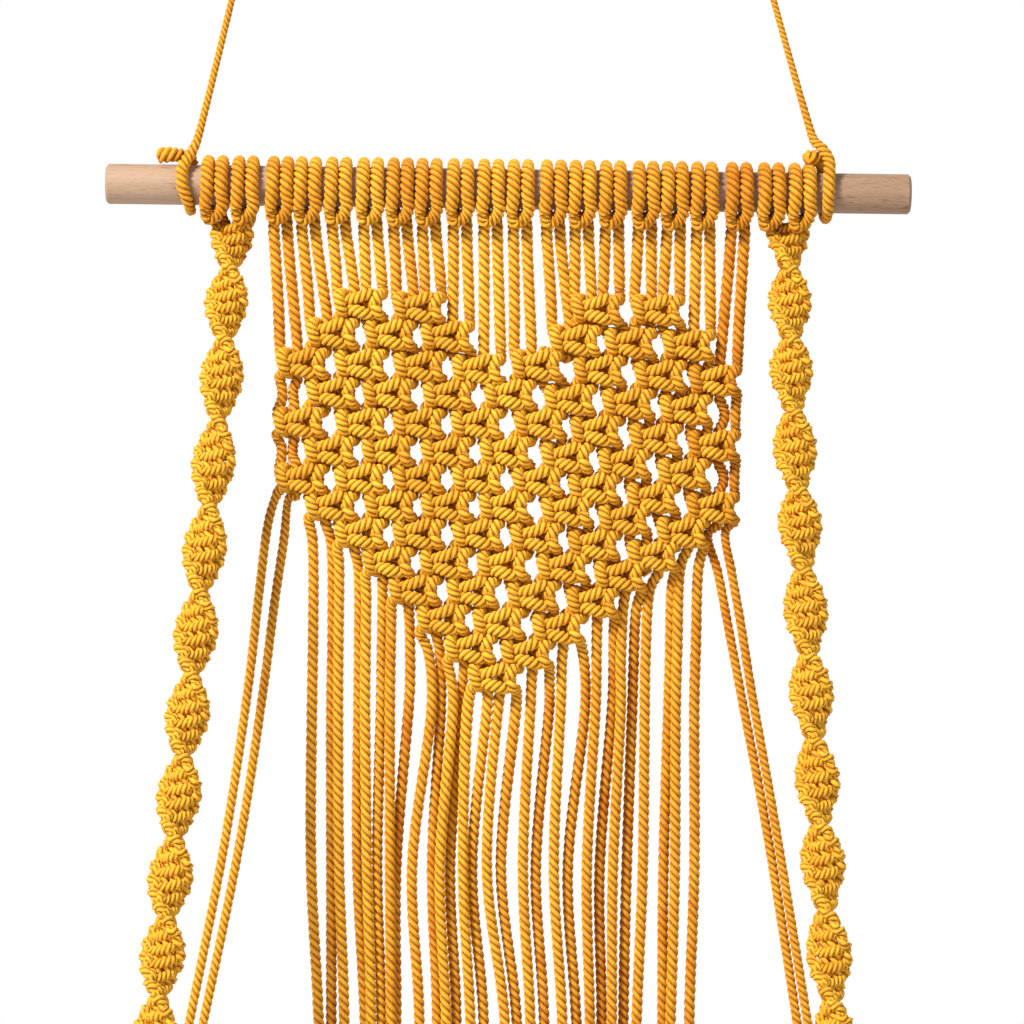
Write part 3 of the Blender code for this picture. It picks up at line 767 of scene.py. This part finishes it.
def ply_group():
    """Cotton plies from the cord's UVs: painted shade in the grooves between plies from V, yarns as fine lines
    along the cord.
    """
    group, given, out = socketed_group(
        "cotton_plies",
        (
            ("Crest", "NodeSocketColor", (1, 1, 1, 1)),
            ("Groove", "NodeSocketColor", (0, 0, 0, 1)),
            ("Shade", "NodeSocketColor", (0.5, 0.5, 0.5, 1)),
        ),
        (("Colour", "NodeSocketColor"), ("Roughness", "NodeSocketFloat"), ("Height", "NodeSocketFloat")),
    )
    uv = group.nodes.new("ShaderNodeUVMap")
    uv.uv_map = "cord"
    split = group.nodes.new("ShaderNodeSeparateXYZ")
    group.links.new(uv.outputs["UV"], split.inputs[0])
    u, v = split.outputs["X"], split.outputs["Y"]
    # Painted shade mask: 0 on top of a ply, rising to 1 in the grooves between plies
    lobes = sum_of(group, "MULTIPLY", v, 3 * math.pi)
    cosine = sum_of(group, "COSINE", lobes, None)
    crest = sum_of(group, "ABSOLUTE", cosine, None)
    painted_groove_shade = sum_of(group, "SUBTRACT", 1.0, crest)
    painted_groove_shade = sum_of(group, "POWER", painted_groove_shade, 1.1)

    around = sum_of(group, "SUBTRACT", v, u)
    combined = group.nodes.new("ShaderNodeCombineXYZ")
    turned = sum_of(group, "MULTIPLY", around, 2 * math.pi)
    group.links.new(sum_of(group, "COSINE", turned, None), combined.inputs[0])
    group.links.new(sum_of(group, "SINE", turned, None), combined.inputs[1])
    group.links.new(sum_of(group, "MULTIPLY", u, 0.5), combined.inputs[2])
    yarns = group.nodes.new("ShaderNodeTexNoise")
    yarns.inputs["Scale"].default_value = 7.0
    yarns.inputs["Detail"].default_value = 2.0
    group.links.new(combined.outputs[0], yarns.inputs["Vector"])

    where = group.nodes.new("ShaderNodeTexCoord")
    patches = group.nodes.new("ShaderNodeTexNoise")
    patches.inputs["Scale"].default_value = 55.0
    patches.inputs["Detail"].default_value = 3.0
    group.links.new(where.outputs["Object"], patches.inputs["Vector"])
    fuzz = group.nodes.new("ShaderNodeTexNoise")
    fuzz.inputs["Scale"].default_value = 2600.0
    fuzz.inputs["Detail"].default_value = 2.0
    group.links.new(where.outputs["Object"], fuzz.inputs["Vector"])
    tone = group.nodes.new("ShaderNodeAttribute")
    tone.attribute_name = "tone"

    # Tone, carrying painted shade and light, times random patches, mixes the crest colour towards the Shade
    # colour
    deeper = sum_of(group, "MULTIPLY", patches.outputs["Fac"], tone.outputs["Fac"])
    deeper = sum_of(group, "MULTIPLY", deeper, 1.1, clamp=True)
    base = mixed_colour(group, deeper, given.outputs["Crest"], given.outputs["Shade"])
    lines = sum_of(group, "SUBTRACT", yarns.outputs["Fac"], 0.5)
    lines = sum_of(group, "MULTIPLY", lines, 0.9)
    # Painted groove shade, broken by the yarn lines, mixes towards the Groove colour
    mask = sum_of(group, "SUBTRACT", painted_groove_shade, lines, clamp=True)
    colour = mixed_colour(group, mask, base, given.outputs["Groove"])
    group.links.new(colour, out.inputs["Colour"])
    rough = sum_of(group, "MULTIPLY", fuzz.outputs["Fac"], 0.2)
    group.links.new(sum_of(group, "ADD", rough, 0.68), out.inputs["Roughness"])
    fine = sum_of(group, "MULTIPLY", fuzz.outputs["Fac"], 0.35)
    height = sum_of(group, "ADD", yarns.outputs["Fac"], fine)
    group.links.new(height, out.inputs["Height"])
    return group


def cotton_surface(settings):
    """Twisted cotton: ply colours with painted shade in the grooves, and yarn bump, from the group; soft sheen on
    the shader.
    """
    made, nodes, links = shader("mustard_cotton_cord")
    plies = nodes.new("ShaderNodeGroup")
    plies.node_tree = ply_group()
    plies.inputs["Crest"].default_value = (*settings.crest_colour, 1)
    plies.inputs["Groove"].default_value = (*settings.painted_groove_shade_colour, 1)
    plies.inputs["Shade"].default_value = (*settings.dye_and_painted_shade_colour, 1)
    surface = nodes["Principled BSDF"]
    surface.inputs["Specular IOR Level"].default_value = 0.22
    surface.inputs["Sheen Weight"].default_value = 0.12
    surface.inputs["Sheen Roughness"].default_value = 0.5
    surface.inputs["Sheen Tint"].default_value = (1.0, 0.72, 0.22, 1)
    bump = nodes.new("ShaderNodeBump")
    bump.inputs["Strength"].default_value = 0.55
    bump.inputs["Distance"].default_value = 0.0006
    links.new(plies.outputs["Colour"], surface.inputs["Base Color"])
    links.new(plies.outputs["Roughness"], surface.inputs["Roughness"])
    links.new(plies.outputs["Height"], bump.inputs["Height"])
    links.new(bump.outputs["Normal"], surface.inputs["Normal"])
    return made


def grain_and_shade_group():
    """Wood on object coordinates: long streaks along X, rings across, short flecks, and painted shade that
    darkens the wood towards +X by Drift.
    """
    group, given, out = socketed_group(
        "wood_grain_and_painted_shade",
        (
            ("Light", "NodeSocketColor", (1, 1, 1, 1)),
            ("Dark", "NodeSocketColor", (0, 0, 0, 1)),
            ("Stretch", "NodeSocketFloat", 12.0),
            ("Scale", "NodeSocketFloat", 60.0),
            ("Flecks", "NodeSocketFloat", 0.5),
            ("Rings", "NodeSocketFloat", 0.5),
            ("Painted shade drift", "NodeSocketFloat", 0.0),
        ),
        (("Colour", "NodeSocketColor"), ("Roughness", "NodeSocketFloat"), ("Height", "NodeSocketFloat")),
    )
    where = group.nodes.new("ShaderNodeTexCoord")
    split = group.nodes.new("ShaderNodeSeparateXYZ")
    group.links.new(where.outputs["Object"], split.inputs[0])
    squeezed = sum_of(group, "DIVIDE", split.outputs["X"], given.outputs["Stretch"])
    joined = group.nodes.new("ShaderNodeCombineXYZ")
    group.links.new(squeezed, joined.inputs[0])
    group.links.new(split.outputs["Y"], joined.inputs[1])
    group.links.new(split.outputs["Z"], joined.inputs[2])
    streaks = group.nodes.new("ShaderNodeTexNoise")
    streaks.inputs["Detail"].default_value = 6.0
    streaks.inputs["Roughness"].default_value = 0.62
    group.links.new(joined.outputs[0], streaks.inputs["Vector"])
    group.links.new(given.outputs["Scale"], streaks.inputs["Scale"])
    rings = group.nodes.new("ShaderNodeTexWave")
    rings.wave_type = "RINGS"
    rings.rings_direction = "X"
    rings.inputs["Scale"].default_value = 55.0
    rings.inputs["Distortion"].default_value = 3.2
    rings.inputs["Detail"].default_value = 3.0
    rings.inputs["Detail Scale"].default_value = 1.4
    group.links.new(joined.outputs[0], rings.inputs["Vector"])
    flecks = group.nodes.new("ShaderNodeTexNoise")
    flecks.inputs["Detail"].default_value = 1.0
    fleck_scale = sum_of(group, "MULTIPLY", given.outputs["Scale"], 14.0)
    group.links.new(fleck_scale, flecks.inputs["Scale"])
    group.links.new(joined.outputs[0], flecks.inputs["Vector"])
    ramp = group.nodes.new("ShaderNodeValToRGB")
    ramp.color_ramp.elements[0].position = 0.60
    ramp.color_ramp.elements[1].position = 0.70
    group.links.new(flecks.outputs["Fac"], ramp.inputs["Fac"])
    spots = sum_of(group, "MULTIPLY", ramp.outputs["Color"], given.outputs["Flecks"])
    late = sum_of(group, "MULTIPLY", rings.outputs["Fac"], given.outputs["Rings"])
    cloudy = sum_of(group, "SUBTRACT", streaks.outputs["Fac"], 0.36)
    cloudy = sum_of(group, "MULTIPLY", cloudy, 1.6, clamp=True)
    mask = sum_of(group, "ADD", cloudy, late)
    mask = sum_of(group, "MULTIPLY", mask, 0.6)
    mask = sum_of(group, "ADD", mask, spots)
    # Painted shade: darker towards the right end, +X, in proportion to Drift
    painted_shade_drift = sum_of(group, "MULTIPLY", split.outputs["X"], given.outputs["Painted shade drift"])
    mask = sum_of(group, "ADD", mask, painted_shade_drift, clamp=True)
    colour = mixed_colour(group, mask, given.outputs["Light"], given.outputs["Dark"])
    group.links.new(colour, out.inputs["Colour"])
    rough = sum_of(group, "MULTIPLY", mask, 0.18)
    group.links.new(sum_of(group, "ADD", rough, 0.46), out.inputs["Roughness"])
    group.links.new(sum_of(group, "SUBTRACT", 1.0, mask), out.inputs["Height"])
    return group


def wood_surface(name, grain, light, dark, values, bump_distance):
    made, nodes, links = shader(name)
    wood = nodes.new("ShaderNodeGroup")
    wood.node_tree = grain
    wood.inputs["Light"].default_value = (*light, 1)
    wood.inputs["Dark"].default_value = (*dark, 1)
    for label, value in values.items():
        wood.inputs[label].default_value = value
    surface = nodes["Principled BSDF"]
    surface.inputs["Specular IOR Level"].default_value = 0.4
    bump = nodes.new("ShaderNodeBump")
    bump.inputs["Strength"].default_value = 0.35
    bump.inputs["Distance"].default_value = bump_distance
    links.new(wood.outputs["Colour"], surface.inputs["Base Color"])
    links.new(wood.outputs["Roughness"], surface.inputs["Roughness"])
    links.new(wood.outputs["Height"], bump.inputs["Height"])
    links.new(bump.outputs["Normal"], surface.inputs["Normal"])
    return made


def shared_cotton(settings):
    return bpy.data.materials.get("mustard_cotton_cord") or cotton_surface(settings)


class SHELF_OT_heart_net(bpy.types.Operator):
    """Tie the heart-shaped net, its fringe and its free edge cords"""

    bl_idname = "shelf.heart_net"
    bl_label = "Heart net"

    def execute(self, context):
        settings = context.scene.shelf_cord
        cords = net_cords(settings, np.random.default_rng(16))
        surface = shared_cotton(settings)
        groups = (
            ("net_cords_left", cords[0:4], ("heart_net", "rear_cords_left")),
            ("net_cords_mid_left", cords[4:8], ("heart_net",)),
            ("net_cords_mid_right", cords[8:12], ("heart_net",)),
            ("net_cords_right", cords[12:16], ("heart_net", "rear_cords_right")),
        )
        for name, part, replaced in groups:
            cord_piece(name, part, settings, surface, replaced)
        return {"FINISHED"}


class SHELF_OT_knot_columns(bpy.types.Operator):
    """Tie the two twisted columns of half knots that carry the board's front"""

    bl_idname = "shelf.knot_columns"
    bl_label = "Knot columns"

    def execute(self, context):
        settings = context.scene.shelf_cord
        surface = shared_cotton(settings)
        for name, side in (("knot_column_left", -1), ("knot_column_right", 1)):
            cords = column_cords(side, np.random.default_rng(40 + side))
            cord_piece("braided_" + name, cords, settings, surface, (name,))
        return {"FINISHED"}


class SHELF_OT_hanger(bpy.types.Operator):
    """Tie the hanging cord to both ends of the dowel"""

    bl_idname = "shelf.hanger"
    bl_label = "Hanger"

    def execute(self, context):
        settings = context.scene.shelf_cord
        surface = shared_cotton(settings)
        cord_piece("hanging_cord", [(hanger_route(), 0.5, 0.0)], settings, surface, ("hanger_cord",))
        return {"FINISHED"}


class SHELF_OT_wood(bpy.types.Operator):
    """Finish the dowel and the board in wood"""

    bl_idname = "shelf.wood"
    bl_label = "Dowel and board"

    def execute(self, context):
        settings = context.scene.shelf_wood
        grain = grain_and_shade_group()
        # The dowel gets painted shade, darker towards its right end, from Drift 1.3
        beech = wood_surface(
            "pale_beech", grain, settings.dowel_colour, settings.dowel_fleck,
            {"Stretch": 10.0, "Scale": 130.0, "Flecks": 0.55, "Rings": 0.12, "Painted shade drift": 1.3}, 0.0002,
        )
        pine = wood_surface(
            "oiled_pine", grain, settings.board_colour, settings.board_grain,
            {"Stretch": 16.0, "Scale": 60.0, "Flecks": 0.10, "Rings": 0.62}, 0.0003,
        )
        for name, surface in (("dowel", beech), ("shelf_board", pine)):
            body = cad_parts[name]
            for slot in body.material_slots:
                slot.material = surface
        return {"FINISHED"}


class SHELF_OT_stage(bpy.types.Operator):
    """Add the floor, the soft lights, the pale surroundings and the camera"""

    bl_idname = "shelf.stage"
    bl_label = "Stage"

    def execute(self, context):
        scene = context.scene
        half = 1.6
        floor_z = CAD_BOX[0][2] - 0.12
        corners = [(x * half, y * half, floor_z) for x, y in ((-1, -1), (1, -1), (1, 1), (-1, 1))]
        mesh = bpy.data.meshes.new("floor")
        mesh.from_pydata(corners, [], [(0, 1, 2, 3)])
        floor = bpy.data.objects.new("floor", mesh)
        made, nodes, _ = shader("pale_floor")
        nodes["Principled BSDF"].inputs["Base Color"].default_value = (0.80, 0.80, 0.81, 1)
        nodes["Principled BSDF"].inputs["Roughness"].default_value = 0.8
        mesh.materials.append(made)
        scene.collection.objects.link(floor)

        lamps = (
            ("key", (-1.5, -1.7, 0.9), (0.0, 0.0, -0.7), 0.6, 112.0, (1.0, 0.985, 0.96)),
            ("fill", (1.7, -1.5, -0.35), (0.0, 0.0, -0.8), 1.4, 12.0, (0.96, 0.97, 1.0)),
            ("back", (0.6, 1.8, 0.2), (0.0, 0.0, -0.8), 1.6, 12.0, (1.0, 1.0, 1.0)),
        )
        for name, place, aim, size, power, colour in lamps:
            lamp = bpy.data.lights.new(name, "AREA")
            lamp.size = size
            lamp.energy = power
            lamp.color = colour
            holder = bpy.data.objects.new(name, lamp)
            holder.location = place
            direction = np.array(aim) - np.array(place)
            flat = math.hypot(direction[0], direction[1])
            holder.rotation_euler = Euler(
                (math.atan2(flat, -direction[2]), 0, math.atan2(-direction[0], direction[1])), "XYZ"
            )
            scene.collection.objects.link(holder)

        world = bpy.data.worlds.new("pale_room")
        world.use_nodes = True
        world.node_tree.nodes["Background"].inputs["Color"].default_value = (0.93, 0.93, 0.97, 1)
        world.node_tree.nodes["Background"].inputs["Strength"].default_value = 0.36
        seen = world.node_tree.nodes.new("ShaderNodeBackground")
        seen.inputs["Color"].default_value = (1.0, 1.0, 1.0, 1)
        ray = world.node_tree.nodes.new("ShaderNodeLightPath")
        either = world.node_tree.nodes.new("ShaderNodeMixShader")
        links = world.node_tree.links
        links.new(ray.outputs["Is Camera Ray"], either.inputs["Fac"])
        links.new(world.node_tree.nodes["Background"].outputs[0], either.inputs[1])
        links.new(seen.outputs[0], either.inputs[2])
        links.new(either.outputs[0], world.node_tree.nodes["World Output"].inputs["Surface"])
        scene.world = world
        scene.view_settings.view_transform = "Standard"

        # The picture shows 0.510 m at the dowel, level, rolled 0.75 degrees
        distance = 1.8
        camera = bpy.data.cameras.new("camera")
        camera.sensor_width = 36
        camera.lens = 36 * distance / 0.510
        holder = bpy.data.objects.new("camera", camera)
        holder.location = (0.0229, -distance, -0.7728)
        holder.rotation_euler = Euler((math.radians(90), math.radians(-0.75), 0), "XYZ")
        scene.collection.objects.link(holder)
        scene.camera = holder
        return {"FINISHED"}


OPERATORS = (
    SHELF_OT_heart_net,
    SHELF_OT_knot_columns,
    SHELF_OT_hanger,
    SHELF_OT_wood,
    SHELF_OT_stage,
)


class SHELF_PT_panel(bpy.types.Panel):
    """The pieces of the shelf"""

    bl_label = "Macrame shelf"
    bl_idname = "SHELF_PT_panel"
    bl_space_type = "VIEW_3D"
    bl_region_type = "UI"
    bl_category = "Shelf"

    def draw(self, context):
        column = self.layout.column()
        for settings in (context.scene.shelf_cord, context.scene.shelf_wood):
            for name in settings.__annotations__:
                column.prop(settings, name)
        for operator in OPERATORS:
            column.operator(operator.bl_idname)


CLASSES = (ShelfCordSettings, ShelfWoodSettings, *OPERATORS, SHELF_PT_panel)


def register():
    for made in CLASSES:
        bpy.utils.register_class(made)
    bpy.types.Scene.shelf_cord = PointerProperty(type=ShelfCordSettings)
    bpy.types.Scene.shelf_wood = PointerProperty(type=ShelfWoodSettings)


def unregister():
    del bpy.types.Scene.shelf_wood
    del bpy.types.Scene.shelf_cord
    for made in reversed(CLASSES):
        bpy.utils.unregister_class(made)


def main():
    register()
    bpy.ops.shelf.heart_net()
    bpy.ops.shelf.knot_columns()
    bpy.ops.shelf.hanger()
    bpy.ops.shelf.wood()
    bpy.ops.shelf.stage()


if __name__ == "__main__":
    main()
